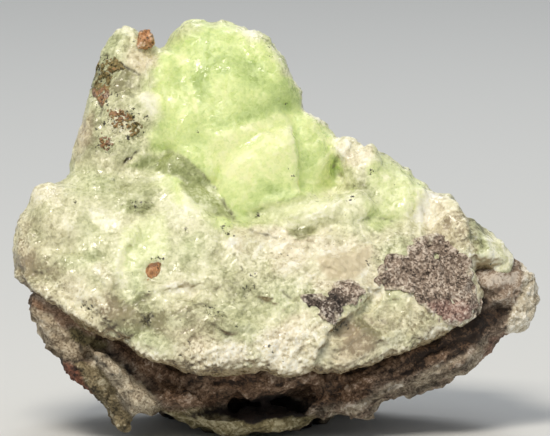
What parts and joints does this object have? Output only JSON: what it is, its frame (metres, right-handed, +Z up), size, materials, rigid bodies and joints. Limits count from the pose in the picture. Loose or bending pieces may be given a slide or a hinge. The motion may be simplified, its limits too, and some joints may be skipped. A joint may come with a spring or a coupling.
{
  "type": "mineral specimen of native copper in prehnite on basalt",
  "caption": "Hand specimen: pale green botryoidal prehnite with small native copper grains, on and around grey-brown basalt, resting on its own base.",
  "frame": {"origin": "middle of the bounding box's bottom, on the surface that the specimen rests on", "axes": "+Z up, +X to the right along the longest side, -Y towards the viewer of the dome"},
  "size_m": [0.0791, 0.0471, 0.0616],
  "materials": {
    "prehnite": "waxy, translucent, rough broken skin",
    "basalt": "matte, grainy, broken",
    "basalt_fragment": "matte, grainy",
    "copper": "native copper, dull with bright spots",
    "copper_tarnished": "native copper, tarnished brown"
  },
  "bodies": {
    "root": {"prehnite": "prehnite", "basalt_matrix": "basalt", "basalt_fragment_large": "basalt_fragment", "basalt_fragment_small": "basalt_fragment", "copper_crest": "copper", "copper_front": "copper", "copper_upper": "copper_tarnished", "copper_middle": "copper_tarnished", "copper_low": "copper_tarnished"}
  },
  "joints": []
}
